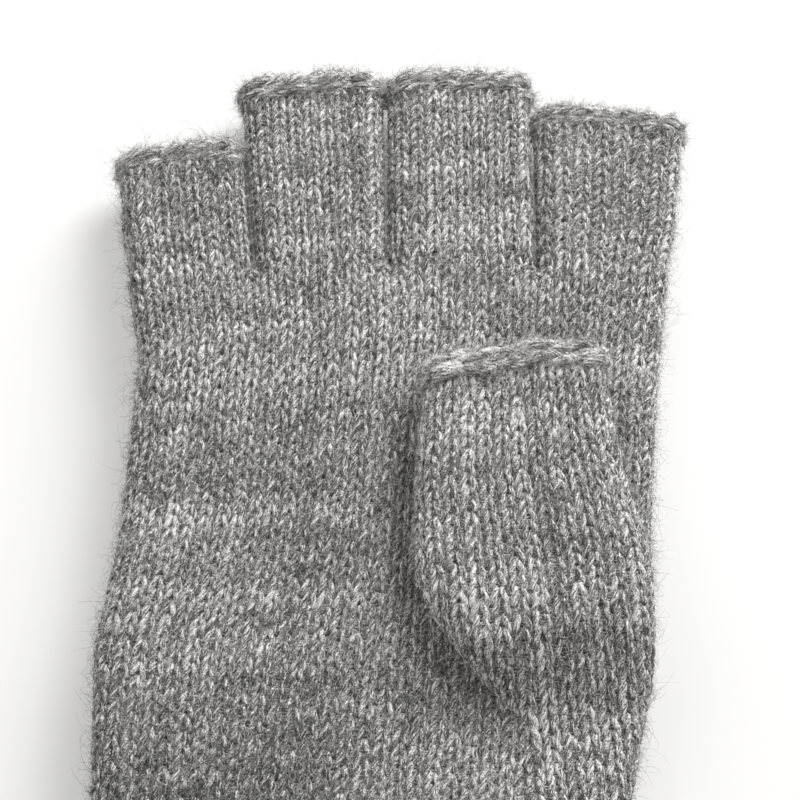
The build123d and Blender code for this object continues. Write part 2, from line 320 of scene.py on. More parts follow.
class Fabric:
    """Collects yarns into one mesh, each yarn with its own strip of the texture map."""

    def __init__(self):
        self.points = []
        self.quads = []
        self.yarn_tone = []
        self.yarn = []
        self.map = []
        self.roots = []
        self.centres = []
        self.count = 0
        self.strips = 0

    def tubes(self, centre, out, radius, tone, closed=True, sides=6, keep=None):
        """Rows of yarn: centre and out are rows x samples x 3. keep drops samples, and ends taper."""
        rows, count = centre.shape[:2]
        radius = np.broadcast_to(radius, (rows, count)).copy()
        if closed:
            tangent = np.roll(centre, -1, 1) - np.roll(centre, 1, 1)
        else:
            tangent = np.gradient(centre, axis=1)
        tangent = unit(tangent)
        normal = unit(out - tangent * np.sum(out * tangent, 2, keepdims=True))
        side = np.cross(tangent, normal)
        keep = np.ones((rows, count), bool) if keep is None else keep.copy()
        before = np.roll(keep, 1, 1)
        after = np.roll(keep, -1, 1)
        if not closed:
            before[:, 0] = False
            after[:, -1] = False
        radius[keep & ~(before & after)] *= CUT_END
        step = np.linalg.norm(np.diff(centre, axis=1, prepend=centre[:, :1]), axis=2)
        along = np.cumsum(step, 1)
        ring = rings_round(centre, side, normal, radius, sides)
        turned = (2 * pi * np.arange(sides) / sides)[None, None, :] + FIBRE_TWIST * along[:, :, None]
        row = np.arange(rows)[:, None, None]
        yarn = np.stack(
            [
                np.repeat(along[:, :, None], sides, 2) + YARN_MAP_STEP * row,
                radius[:, :, None] * np.cos(turned) + ROW_MAP_STEP * row,
                radius[:, :, None] * np.sin(turned),
            ],
            -1,
        )
        index = np.arange(rows * count * sides).reshape(rows, count, sides) + self.count
        here = index if closed else index[:, :-1]
        ahead = np.roll(index, -1, 1) if closed else index[:, 1:]
        quads = faces_between(here, ahead)
        used = keep & after if closed else (keep & after)[:, :-1]
        sample = np.arange(quads.shape[1])[None, :, None, None]
        face = np.arange(sides)[None, None, :, None]
        u = (sample + np.array([0, 0, 1, 1])) / count
        v = row[..., None] + self.strips + 0.1 + 0.8 * (face + np.array([0, 1, 1, 0])) / sides
        uv = np.stack(np.broadcast_arrays(u, v), -1)
        tone = np.broadcast_to(tone, (rows, count))
        self.points.append(ring.reshape(-1, 3))
        self.yarn.append(yarn.reshape(-1, 3))
        self.yarn_tone.append(np.repeat(tone[:, :, None], sides, 2).reshape(-1))
        self.quads.append(quads[used].reshape(-1, 4))
        self.map.append(np.broadcast_to(uv, quads.shape + (2,))[used].reshape(-1, 4, 2))
        self.centres.append(centre)
        self.roots.append(((centre + normal * radius[..., None] * 0.8)[keep], normal[keep]))
        self.count += rows * count * sides
        self.strips += rows

    def lining(self, place, wales, rows, keep=None, closed=True):
        """The felted fibre between the yarns: a thin closed skin on the fabric's middle surface."""
        lines = rows + 1
        columns = np.arange(wales * LINING_STEPS + (0 if closed else 1)) / LINING_STEPS
        columns = columns - (wales / 2 if closed else 0)
        wale, row = np.meshgrid(columns, np.linspace(-0.5, rows - 0.5, lines))
        skins = [place(wale, row, np.full(wale.shape, z)) for z in (LINING_TOP, LINING_TOP - LINING_THICK)]

        def right(grid):
            return np.roll(grid, -1, 1) if closed else grid[:, 1:]

        def left(grid):
            return grid if closed else grid[:, :-1]

        def skin(low, high):
            return np.stack([left(low), right(low), right(high), left(high)], -1)

        total = len(columns)
        first = np.arange(lines * total).reshape(lines, total) + self.count
        second = first + lines * total
        used = np.ones((lines - 1, total if closed else total - 1), bool)
        if keep is not None:
            inside = keep(skins[0])
            across = left(inside) & right(inside)
            used = across[:-1] & across[1:]
        outer = skin(first[:-1], first[1:])[used]
        inner = skin(second[1:], second[:-1])[used]
        near_end = skin(second, first)[0][used[0]]
        far_end = skin(first, second)[-1][used[-1]]
        quads = np.concatenate([outer, inner, near_end, far_end])
        points = np.concatenate([layer.reshape(-1, 3) for layer in skins])
        order = (quads - self.count) % (lines * total)
        u = (order % total) / total
        u = np.where(u - u.min(1, keepdims=True) > 0.5, u - 1, u) * 0.98 + 0.01
        v = self.strips + 0.05 + 0.9 * (order // total) / lines
        self.points.append(points)
        self.yarn.append(points * 1.3)
        self.yarn_tone.append(np.full(len(points), LINING_TONE))
        self.quads.append(quads)
        self.map.append(np.stack([np.clip(u, 0, 1), v], -1))
        self.count += len(points)
        self.strips += 1

    def add(self, name, how, slot, *replaced, material=None):
        """Makes the piece, wool unless told otherwise, with its motion, and hides the nodes that it replaces.
        The slot is not used.
        """
        points = np.concatenate(self.points)
        quads = np.concatenate(self.quads)
        used, order = np.unique(quads.ravel(), return_inverse=True)
        mesh = new_mesh(name, points[used], order.reshape(-1, 4))
        # The yarn's tone per point, which on the knit includes painted shade and painted light
        tone = mesh.attributes.new("yarn_tone", "FLOAT", "POINT")
        tone.data.foreach_set("value", np.clip(np.concatenate(self.yarn_tone)[used], 0, 1).astype(np.float32))
        yarn = mesh.attributes.new("yarn", "FLOAT_VECTOR", "POINT")
        yarn.data.foreach_set("vector", np.concatenate(self.yarn)[used].astype(np.float32).ravel())
        layer = mesh.uv_layers.new(name="OFBake")
        uv = np.concatenate(self.map)
        uv[..., 1] /= self.strips
        layer.data.foreach_set("uv", uv.astype(np.float32).ravel())
        finish(new_piece(name, mesh, [material or WOOL]), how, slot, *replaced)


def fuzz(name, fabric, how, slot, down, stray, seed, top=None, shares=(0.32, 0.42, 0.26)):
    """Loose fibres: short down that lies close to the fabric, and stray ones that stand off and curl.

    down and stray are how many, top is the height below which they are sparse, and shares are those
    of dark, middle and light fibres.
    """
    start = np.concatenate([points for points, _ in fabric.roots])
    outward = np.concatenate([normals for _, normals in fabric.roots])
    weight = np.ones(len(start))
    if top is not None:
        weight[start[:, 2] < top] = 0.3
    weight /= weight.sum()
    for kind, number, reach, rings in (("down", down, (0.6, 1.7), 3), ("stray", stray, (1.6, 4.2), 5)):
        local = np.random.default_rng(seed + rings)
        pick = local.choice(len(start), number, p=weight)
        root = start[pick]
        away = outward[pick]
        spread = local.normal(size=(number, 3))
        spread = unit(spread - away * np.sum(spread * away, 1, keepdims=True))
        bend = local.normal(size=(number, 3)) * 0.45
        length = local.uniform(*reach, size=(number, 1))
        stand = local.uniform(0.05, 0.95, size=(number, 1)) ** 1.5
        line = []
        for i in range(rings):
            share = i / (rings - 1)
            rise = stand * (1.3 * share - 0.6 * share * share) + 0.25 * sin(pi * share)
            line.append(root + length * (spread * share + away * rise + bend * share * share))
        line = np.stack(line, 1)
        tangent = unit(np.gradient(line, axis=1))
        side = unit(np.cross(tangent, away[:, None]))
        other = np.cross(side, tangent)
        taper = FIBRE_THICK * np.linspace(1.0, 0.2, rings) ** 0.5
        ring = rings_round(line, side, other, taper, 3)
        ring[..., 2] = np.maximum(ring[..., 2], FLOOR_GAP)
        index = np.arange(number * rings * 3).reshape(number, rings, 3)
        quads = faces_between(index[:, :-1], index[:, 1:]).reshape(-1, 4)
        mesh = new_mesh(f"{name}_{kind}", ring.reshape(-1, 3), quads)
        tone = local.choice(3, number, p=shares)
        mesh.polygons.foreach_set("material_index", np.repeat(tone, (rings - 1) * 3).astype(np.int32))
        finish(new_piece(f"{name}_{kind}", mesh, FIBRES), how, slot)


LOOP_SHIFT = 0.22
LOOP_TALL = 0.9
LOOP_PAINTED_SHADE = 0.14
LOWER_PAINTED_SHADE = 0.14
FINGER_SHADE = 0.05
ACROSS = np.array([1.0, 0.0, 0.0])
TO_TIPS = np.array([0.0, 1.0, 0.0])
UP = np.array([0.0, 0.0, 1.0])


def knit(fabric, place, wales, rows, seed, radius=0.47, deep=0.42, samples=14, rib=None, keep=None,
         closed=True, start=0.0, sides=6):
    """Rows of knitted loops. place(wale, row, out) gives points in mm, wale 0 at a wale's middle.

    Painted shade darkens the loops where they sink and painted light brightens their raised legs; painted
    shade also darkens the wool low on the little finger's side, where the light falls off, and the colour is
    a little darker up on the fingers.
    """
    count = wales * samples + (0 if closed else 1)
    k = np.arange(count) / samples + (-(wales // 2) if closed else -0.5)
    t = 2 * pi * k
    row = np.arange(rows)[:, None]
    wale = (k + LOOP_SHIFT * np.sin(2 * t))[None] + 0.045 * smooth_noise((rows, count), (1, 8), seed)
    along = row - LOOP_TALL * np.cos(t)[None] + 0.06 * smooth_noise((rows, count), (1, 9), seed + 1)
    out = -deep * np.cos(2 * t)[None] + 0.09 * smooth_noise((rows, count), (1, 7), seed + 2)
    if rib is not None:
        face, lift = rib(k)
        out = out * face[None] + lift[None]
    wale = wale + start
    centre = place(wale, along, out)
    above = place(wale, along, out + 0.2)
    thick = radius * (1 + 0.10 * smooth_noise((rows, count), (1, 6), seed + 3))
    kept = None if keep is None else keep(centre)
    x = centre[..., 0]
    y = centre[..., 1]
    # Painted shade where the loops sink and painted light on their raised legs, plus each wale's own tone
    tone = yarn_tone(rows, count, seed + 4) - LOOP_PAINTED_SHADE * np.cos(2 * t)[None] + column_tone(k, seed)[None]
    # Painted shade low on the little finger's side, where the light falls off
    tone = tone - LOWER_PAINTED_SHADE * smooth((5 - y) / 45) * smooth((20 - x) / 30)
    tone = tone - FINGER_SHADE * smooth((y - 45) / 25)
    fabric.tubes(centre, above - centre, thick, tone, closed=closed, sides=sides, keep=kept)
    fabric.lining(place, wales, rows, keep=keep, closed=closed)


def column_tone(k, seed):
    """Each wale a little lighter or darker than its neighbours."""
    values = np.random.default_rng(seed // 100).normal(size=400) * 0.035
    return values[np.floor(k + 0.5).astype(int) % 400]


def rib_2x2(k):
    """Two knit wales, two purl wales: the purl ones show their backs and sink."""
    group = (k + 0.5) % 4
    knit_face = np.tanh((1 - np.abs(group - 1)) * 7) * (group < 3)
    purl_face = np.tanh((np.abs(group - 5) - 1) * -7) * (group >= 3)
    face = knit_face + purl_face
    return face, 0.42 * face


def rope(fabric, path, out, seed, strands=3, radius=0.6, ring=0.8, pitch=14.0, closed=True, width=1.0,
         sides=6, wander=0.06, light=0.04):
    """Strands twisted round a path. out is the direction off the surface, one or one per point."""
    out = np.broadcast_to(out, path.shape)
    if closed:
        tangent = unit(np.roll(path, -1, 0) - np.roll(path, 1, 0))
        step = np.linalg.norm(np.roll(path, -1, 0) - path, axis=1)
    else:
        tangent = unit(np.gradient(path, axis=0))
        step = np.linalg.norm(np.diff(path, axis=0, append=path[-1:]), axis=1)
    along = np.concatenate([[0], np.cumsum(step)[:-1]])
    total = step.sum()
    turns = total / pitch
    if closed:
        turns = max(1, round(turns))
    side = np.cross(tangent, out)
    angle = 2 * pi * turns * along / total
    phase = 2 * pi * np.arange(strands)[:, None] / strands
    wobble = wander * smooth_noise((strands, len(path)), (1, 9), seed)
    turn = angle[None] + phase + wobble * 3
    sideways = (np.cos(turn) * ring * width + wobble)[..., None] * side[None]
    upward = (np.sin(turn) * ring + wobble)[..., None] * out[None]
    centre = path[None] + sideways + upward
    normal = np.cos(turn)[..., None] * side[None] + np.sin(turn)[..., None] * out[None]
    thick = radius * (1 + 0.12 * smooth_noise((strands, len(path)), (1, 6), seed + 1))
    tone = yarn_tone(strands, len(path), seed + 2) + light
    fabric.tubes(centre, normal, thick, tone, closed=closed, sides=sides)


# ---- shapes and motions


def slot_point(s, w, h):
    """Across, up and the outward normal at arc length s from the top middle of a slot."""
    r = h / 2
    flat = np.maximum(w - h, 0.01) / 2
    full = 4 * flat + 2 * pi * r
    s = (s + full / 2) % full - full / 2
    side = np.where(s < 0, -1.0, 1.0)
    a = np.abs(s)
    turn = np.clip((a - flat) / r, 0, pi)
    x = np.where(a < flat, a, flat + r * np.sin(turn))
    x = np.where(a - flat - pi * r > 0, flat - (a - flat - pi * r), x)
    return side * x, r * np.cos(turn), side * np.sin(turn), np.cos(turn)


def slot_length(w, h):
    return 2 * np.maximum(w - h, 0.01) + pi * h


class Limb:
    """A knitted tube along a leaning axis, through stations of (along, left, right, middle z, height)."""

    def __init__(self, origin, lean, stations):
        self.origin = origin
        self.turn = radians(lean)
        self.at, self.left, self.right, self.z, self.height = np.array(stations, float).T

    def section(self, along):
        """The middle across, width, middle z and height of the tube's middle surface."""
        left = np.interp(along, self.at, self.left)
        right = np.interp(along, self.at, self.right)
        z = np.interp(along, self.at, self.z)
        return (left + right) / 2, right - left - WALL, z, np.interp(along, self.at, self.height) - WALL

    def place(self, turn, along, out):
        """turn: share of the way round from the top middle. along and out: mm."""
        middle, w, z, h = self.section(along)
        x, up, nx, nz = slot_point(turn * slot_length(w, h), w, h)
        across = middle + x + nx * out
        return np.stack([
            self.origin[0] + across * cos(self.turn) - along * sin(self.turn),
            self.origin[1] + across * sin(self.turn) + along * cos(self.turn),
            z + up + nz * out,
        ], -1)


def way_round(count):
    """Shares of the way round a tube, from its lower middle through its top middle."""
    return np.arange(count) / count - 0.5


def edge_rope(fabric, limb, along, sway, out, seed, **strands):
    """A rope round a limb's open end. sway moves each of its points along the limb."""
    turn = way_round(len(sway))
    level = np.full(len(sway), along)
    off = np.full(len(sway), out)
    away = limb.place(turn, level, off + 1.0) - limb.place(turn, level, off)
    rope(fabric, limb.place(turn, along + sway, off), unit(away), seed, **strands)


def distances(path):
    """How far along a path each of its points lies."""
    return np.concatenate([[0], np.cumsum(np.linalg.norm(np.diff(path, axis=0), axis=1))])


def follow(path, length, at):
    """Points at given distances along a path."""
    return np.stack([np.interp(at, length, column) for column in path.T], -1)


def waves(x, y, seed, cells):
    """A slow, smooth unevenness over the table plane, zero mean, about unit height."""
    local = np.random.default_rng(seed)
    total = 0.0
    for cell in cells:
        angle = local.uniform(0, 2 * pi)
        shift = local.uniform(0, 2 * pi)
        total = total + np.sin((x * cos(angle) + y * sin(angle)) * 2 * pi / cell + shift)
    return total / sqrt(len(cells))


def finish(piece, how, slot, *replaced):
    how(piece)
    if replaced:
        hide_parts(*replaced)


def on(body):
    def how(piece):
        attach(piece, body)
    return how


def between():
    def how(piece):
        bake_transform(piece)
    return how


def drawn_in(body, keep):
    def how(piece):
        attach(piece, body)
        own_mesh(piece)
    return how


def rows_of(place, first):
    """The same fabric with its rows counted from a given row."""
    def shifted(wale, row, out):
        return place(wale, row + first, out)
    return shifted


# ---- the thumb's outline

THUMB_TURN = radians(THUMB_LEAN)
THUMB_REACH = -85.0
EDGE_REACH = 12.0
hand_y, hand_left, hand_right = np.array(HAND_STATIONS).T


def hand_sides(y):
    return np.interp(y, hand_y, hand_left), np.interp(y, hand_y, hand_right)


def thumb_point(along):
    """A point on the thumb's axis, at a distance from its tip."""
    return THUMB_TIP[0] - along * sin(THUMB_TURN), THUMB_TIP[1] + along * cos(THUMB_TURN)


def glove_side(along):
    """How far to the thumb's side the right edge of the hand lies, at a station of the thumb."""
    x, y = thumb_point(along)
    _, right = hand_sides(y + EDGE_REACH * sin(THUMB_TURN))
    return (right - x) / cos(THUMB_TURN)


# The root narrows to a flat tongue that lies flush in the palm down to the cuff
thumb = Limb(THUMB_TIP, THUMB_LEAN, [
    (THUMB_REACH, -8.7, glove_side(THUMB_REACH) - 0.6, 11.8, 3.2),
    (-82.0, -8.2, glove_side(-82.0) - 0.5, 13.2, 3.2),
    (-70.0, -6.3, glove_side(-70.0) - 0.4, 13.4, 3.4),
    (-65.0, -5.0, glove_side(-65.0) - 0.2, 13.7, 4.0),
    (-61.0, -5.6, glove_side(-61.0), 14.3, 5.6),
    (-57.4, -8.6, 16.7, 15.2, 7.8),
    (-54.2, -11.6, 17.0, 16.7, 8.8),
    (-50.4, -14.6, 17.4, THUMB_Z + 3.6, 9.4),
    (-44.4, -18.2, 17.8, THUMB_Z + 4.7, TUBE),
    (-38.4, -20.1, 18.3, THUMB_Z + TUBE / 2, TUBE),
    (-22.4, -18.8, 15.8, THUMB_Z + TUBE / 2, TUBE),
    (-THUMB_RIM_LENGTH, -15.6, 15.2, THUMB_Z + TUBE / 2, TUBE),
    (2.5, -15.2, 15.1, THUMB_Z + TUBE / 2, TUBE),
])
THUMB_HOLE = thumb_point(THUMB_HOLE_AT)
HOLE_TAKE_UP = 1.3


def in_thumb_hole(points):
    """The hole through the fabric, less the half yarn that turns in at its edge."""
    dx = points[..., 0] - THUMB_HOLE[0]
    dy = points[..., 1] - THUMB_HOLE[1]
    u = dx * cos(THUMB_TURN) + dy * sin(THUMB_TURN)
    v = dy * cos(THUMB_TURN) - dx * sin(THUMB_TURN)
    half_width = THUMB_HOLE_HALF_WIDTH - HOLE_TAKE_UP
    half_height = THUMB_HOLE_HALF_HEIGHT - HOLE_TAKE_UP
    return (u / half_width) ** 2 + (v / half_height) ** 2 < 1


# ---- hand

HAND_WALES = 68
HAND_ROWS = 48
HAND_PIECE_ROWS = 12
ROOT_LINE = 61.0
GROOVE_DEPTH = 3.0
GROOVE_WIDTH = 2.7
THUMB_HOLLOW = 1.7
THUMB_BED = 1.4
WALE_DRIFT = 3.0

corners = []
for (root_x, root_y), lean, _, root_width, _ in FINGERS.values():
    half = root_width / 2
    corners.append((root_x - half * cos(radians(lean)), root_y - half * sin(radians(lean))))
    corners.append((root_x + half * cos(radians(lean)), root_y + half * sin(radians(lean))))
corners = np.array(corners)
# x, y and lean of the line between two neighbouring fingers
crotches = [
    ((corners[i][0] + corners[i + 1][0]) / 2, min(corners[i][1], corners[i + 1][1]), radians(lean))
    for i, lean in ((1, 10.0), (3, 6.5), (5, 3.0))
]


def grooves(x, y):
    """How deep the fabric sinks between the fingers and for a short way into the hand."""
    depth = 0.0
    for crotch_x, crotch_y, lean in crotches:
        off = x - crotch_x + (y - crotch_y) * tan(lean)
        fade = smooth((y - crotch_y + 10) / 10) ** 1.4
        depth = depth + GROOVE_DEPTH * np.exp(-((off / GROOVE_WIDTH) ** 2)) * fade
    return depth


def unevenness(x, y):
    return 0.45 * waves(x, y, 5, (31, 43, 57)) + 0.16 * waves(x, y, 6, (11, 14, 17))


def relief(x, y):
    """Unevenness of the palm, a hollow beside the folded thumb, and a bed for its root."""
    dx = x - THUMB_TIP[0]
    dy = y - THUMB_TIP[1]
    along = dy * cos(thumb.turn) - dx * sin(thumb.turn)
    beside = dx * cos(thumb.turn) + dy * sin(thumb.turn) - np.interp(along, thumb.at, thumb.left)
    hollow = THUMB_HOLLOW * np.exp(-(((beside + 0.5) / 3.2) ** 2))
    hollow = hollow * smooth((along + 64) / 14) * smooth((2 - along) / 8)
    bed = THUMB_BED * smooth((beside - 0.2) / 1.6) * smooth((-54 - along) / 6) * smooth((along + 84) / 3)
    return unevenness(x, y) - np.maximum(hollow, bed)


def on_hand(wale, row, out):
    """The flat tube from the wrist to the finger roots. Near the wrist its wales drift to the sides."""
    share = (row + 0.5) / HAND_ROWS
    nominal = WRIST_Y + share * (ROOT_LINE - WRIST_Y)
    left, right = hand_sides(nominal)
    w = right - left - WALL
    h = TUBE - WALL
    full = slot_length(w, h)
    s = wale / HAND_WALES * full
    s = s + WALE_DRIFT * np.sin(2 * pi * s / full) * smooth((20 - nominal) / 64)
    x, up, nx, nz = slot_point(s, w, h)
    middle = (left + right) / 2
    top = np.interp(middle + x, corners[:, 0], corners[:, 1] - 0.2)
    y = WRIST_Y + share * (top - WRIST_Y)
    out = out - grooves(middle + x, y) * np.abs(nz)
    lift = relief(middle + x, y) * np.where(nz > 0, nz, 0.3 * nz)
    return np.stack([middle + x + nx * out, y, MID_Z + up + nz * out + lift], -1)


def hand_keep(points):
    return ~(in_thumb_hole(points) & (points[..., 2] > MID_Z))


for number in range(HAND_ROWS // HAND_PIECE_ROWS):
    fabric = Fabric()
    place = rows_of(on_hand, number * HAND_PIECE_ROWS)
    knit(fabric, place, HAND_WALES, HAND_PIECE_ROWS, 100 + number * 10, keep=hand_keep)
    fabric.add(f"hand_knit_{number + 1}", on("hand"), "wool_knit", "hand_tube")
    fuzz(f"hand_fuzz_{number + 1}", fabric, on("hand"), "wool_knit", 16000, 2600, 500 + number, top=MID_Z)

# ---- fingers

FINGER_WALES = {"little": 18, "ring": 20, "middle": 21, "index": 17}
FINGER_SPACING = 2.07
TIP_WIDER = 1.9
# The closed flap is narrower than the four fingers, so the outer two draw in. Rows from the root, and
# how much of the width is left from there on
DRAWN_IN = {
    "little": [(2, 0.88), (4, 0.76), (6, 0.62)],
    "index": [(2, 0.93), (4, 0.85), (7, 0.74)],
}
# along from the tube's end, ring radius, strand radius, pitch
FINGER_RIM_ROPES = ((0.4, 0.58, 0.64, 11.0), (2.4, 0.76, 0.82, 9.6))
FINGER_DOWN = 380
FINGER_STRAY = 62
root_line_width = np.interp(ROOT_LINE, hand_y, hand_right - hand_left)
hand_pitch = slot_length(root_line_width - WALL, TUBE - WALL) / HAND_WALES
hand_middle = np.interp(ROOT_LINE, hand_y, (hand_left + hand_right) / 2)


def finger_stations(name):
    """Sections of a finger's tube, which is wide enough to touch its neighbours."""
    _, _, length, root_width, tip_width = FINGERS[name]
    tube_length = length - RIM_LENGTH
    stations = []
    for along, width in (
        (-4, root_width),
        (0, root_width + 0.4),
        (9, root_width + 0.8 + (tip_width - root_width) * 9 / tube_length),
        (tube_length, tip_width + TIP_WIDER),
        (length + 1, tip_width + TIP_WIDER),
    ):
        left = -width / 2
        right = width / 2
        if name == "little" and 0 < along < 20:
            left = left - 0.6
        if name == "index":
            right = right + 1.1 * min(max(along, 0) / 9, 1)
        stations.append((along, left, right, MID_Z - tan(radians(FINGER_DROOP)) * along, TUBE))
    return stations


def on_finger(limb, wales, spacing):
    def place(wale, row, out):
        points = limb.place(wale / wales, (row + 0.5) * spacing, out)
        points[..., 2] += relief(points[..., 0], points[..., 1])
        return points
    return place


def add_finger(number, name):
    """A half-finger: its tube, in one part or, for the outer two, in parts split at the rows given in
    DRAWN_IN, and its bound-off rim.
    """
    (root_x, root_y), lean, length, root_width, _ = FINGERS[name]
    body = f"{name}_finger"
    limb = Limb((root_x, root_y), lean, finger_stations(name))
    tube_length = length - RIM_LENGTH
    rows = round(tube_length / FINGER_SPACING)
    wales = FINGER_WALES[name]
    place = on_finger(limb, wales, tube_length / rows)
    finger_pitch = slot_length(root_width - WALL, TUBE - WALL) / wales
    off = (root_x - hand_middle) / hand_pitch
    start = -(off - round(off)) * hand_pitch / finger_pitch
    flex = between()
    parts = [(0, rows, flex)]
    rest = on(body)
    if name in DRAWN_IN:
        stops = DRAWN_IN[name] + [(rows, None)]
        parts = [(0, stops[0][0], flex)]
        for (first, share), (last, _) in zip(stops, stops[1:]):
            rest = drawn_in(body, share)
            parts.append((first, last, rest))
    for part, (first, last, how) in enumerate(parts):
        count = last - first
        fabric = Fabric()
        knit(fabric, rows_of(place, first), wales, count, 200 + number * 10 + part, start=start)
        fabric.add(f"{body}_knit_{part + 1}", how, "wool_knit", f"{body}_tube")
        fuzz(f"{body}_fuzz_{part + 1}", fabric, how, "wool_knit", FINGER_DOWN * count, FINGER_STRAY * count,
             520 + number * 7 + part, top=MID_Z - 1)
    fabric = Fabric()
    sway = 0.3 * np.sin(way_round(150) * 4 * pi + number)
    for layer, (along, ring, thick, pitch) in enumerate(FINGER_RIM_ROPES):
        edge_rope(fabric, limb, tube_length + along, sway, 0.1, 240 + number * 4 + layer, ring=ring,
                  radius=thick, pitch=pitch, wander=0.15, light=0.12)
    fabric.add(f"{body}_rim_yarn", rest, "wool_edge", f"{body}_rim")
    fuzz(f"{body}_rim_fuzz", fabric, rest, "wool_edge", 7000, 1100, 540 + number, shares=(0.2, 0.4, 0.4))


for number, name in enumerate(FINGERS):
    add_finger(number, name)

# ---- thumb

THUMB_WALES = 26
THUMB_SPACING = 2.2
thumb_rows = round((-THUMB_RIM_LENGTH - THUMB_REACH) / THUMB_SPACING)
# Below its widest section the thumb keeps the wales of that section, and so they run straight
WIDEST_AT = -38.4
wide_middle, wide_width, _, wide_height = thumb.section(WIDEST_AT)
wide_round = slot_length(wide_width, wide_height)


def thumb_slope(turn):
    """The open end is cut askew: its outer side reaches further."""
    return 0.3 + 0.4 * np.sin(2 * pi * turn)


def palm_drop(x, y):
    """How far the palm's fabric lies below its flat middle, at its rounded sides and by its unevenness."""
    radius = (TUBE - WALL) / 2
    left, right = hand_sides(y)
    inward = np.minimum(x - left, right - x) - WALL / 2
    return radius - np.sqrt(radius**2 - np.clip(radius - inward, 0, radius) ** 2) - unevenness(x, y)


def on_thumb(wale, row, out):
    turn = wale / THUMB_WALES
    along = THUMB_REACH + (row + 0.5) * THUMB_SPACING
    along = along + thumb_slope(turn) * smooth((along + 30) / 25)
    middle, w, _, h = thumb.section(along)
    straight = np.clip((turn * wide_round + wide_middle - middle) / slot_length(w, h), -0.5, 0.5)
    turn = turn + (straight - turn) * smooth((-36 - along) / 8)
    points = thumb.place(turn, along, out)
    x = points[..., 0]
    y = points[..., 1]
    points[..., 2] += 0.3 * waves(x, y, 31, (15, 21, 33)) * smooth((along + 66) / 14)
    points[..., 2] -= palm_drop(x, y) * smooth((-50 - along) / 12)
    return points


def thumb_keep(points):
    return ~(in_thumb_hole(points) & (points[..., 2] < THUMB_Z + 2.5))


thumb_bend = between()
fabric = Fabric()
knit(fabric, on_thumb, THUMB_WALES, thumb_rows, 300, keep=thumb_keep, radius=0.5)
fabric.add("thumb_knit", thumb_bend, "wool_knit", "thumb_tube")
fuzz("thumb_fuzz", fabric, thumb_bend, "wool_knit", 13000, 2200, 550, top=THUMB_Z + 4)

fabric = Fabric()
turn = way_round(190)
sway = thumb_slope(turn) + 0.3 * np.sin(turn * 6 * pi + 1.0) + 0.2 * np.sin(turn * 10 * pi)
for layer, (along, out) in enumerate(((-3.9, 0.45), (-1.9, 0.25))):
    edge_rope(fabric, thumb, along, sway, out, 330 + layer, ring=0.86, radius=0.88, pitch=17.0, wander=0.12,
              light=0.16)
fabric.add("thumb_rim_yarn", on("thumb"), "wool_edge", "thumb_rim")
fuzz("thumb_rim_fuzz", fabric, on("thumb"), "wool_edge", 6500, 900, 551, shares=(0.22, 0.38, 0.4))

GUSSET_WALES = 22
GUSSET_ROWS = 7
GUSSET_LOW = PALM_Z - 1.0
GUSSET_TALL = 2.3
GUSSET_PRESS = 0.12
GUSSET_PAINTED_SHADE = 0.1


def on_gusset(wale, row, out):
    """A ring of fabric between the two edges of the hole. Its rows are spaced in height by the inverse of a
    smooth step.
    """
    angle = 2 * pi * wale / GUSSET_WALES
    u = (THUMB_HOLE_HALF_WIDTH + out) * np.cos(angle)
    v = (THUMB_HOLE_HALF_HEIGHT + out) * np.sin(angle)
    share = (row + 0.5) / GUSSET_ROWS
    even = np.linspace(0, 1, 200)
    rise = np.interp(share, smooth(even), even)
    return np.stack([
        THUMB_HOLE[0] + u * cos(THUMB_TURN) - v * sin(THUMB_TURN),
        THUMB_HOLE[1] + u * sin(THUMB_TURN) + v * cos(THUMB_TURN),
        GUSSET_LOW + GUSSET_TALL * np.where((share < 0) | (share > 1), share, rise),
    ], -1)


# At rest the ring lies pressed flat
fabric = Fabric()
knit(fabric, on_gusset, GUSSET_WALES, GUSSET_ROWS, 350, radius=0.5, deep=0.25)
# The gusset's colour is painted darker, as shade in the fold between the hand and the thumb
fabric.yarn_tone = [tone - GUSSET_PAINTED_SHADE for tone in fabric.yarn_tone]
yarns = fabric.points[0]
centre_z = np.repeat(fabric.centres[0][..., 2].reshape(-1), 6)
yarns[:, 2] = centre_z + (yarns[:, 2] - centre_z) * GUSSET_PRESS
gusset_bend = between()
fabric.add("thumb_gusset_knit", gusset_bend, "wool_knit")

# ---- cuff

CUFF_ROWS = 27
CUFF_SPLIT = 13
CUFF_LENGTH = WRIST_Y - CUFF_END_Y


def on_cuff(wale, row, out):
    y = CUFF_END_Y + (row + 0.5) / CUFF_ROWS * CUFF_LENGTH
    share = (y - CUFF_END_Y) / CUFF_LENGTH
    w = CUFF_WIDTH + share * (hand_right[0] - hand_left[0] - CUFF_WIDTH) - WALL
    h = TUBE - WALL
    x, up, nx, nz = slot_point(wale / HAND_WALES * slot_length(w, h), w, h)
    z = CUFF_END_Z + share * (MID_Z - CUFF_END_Z)
    return np.stack([(hand_left[0] + hand_right[0]) / 2 + x + nx * out, y + 0 * x, z + up + nz * out], -1)


for part, (first, last) in enumerate(((0, CUFF_SPLIT), (CUFF_SPLIT, CUFF_ROWS))):
    fabric = Fabric()
    knit(fabric, rows_of(on_cuff, first), HAND_WALES, last - first, 400 + part * 10, rib=rib_2x2, radius=0.58,
         samples=12)
    fabric.add(f"cuff_rib_{part + 1}", on("hand"), "wool_rib", "wrist_rib_cuff")
    fuzz(f"cuff_fuzz_{part + 1}", fabric, on("hand"), "wool_rib", 8000, 1100, 560 + part * 20)

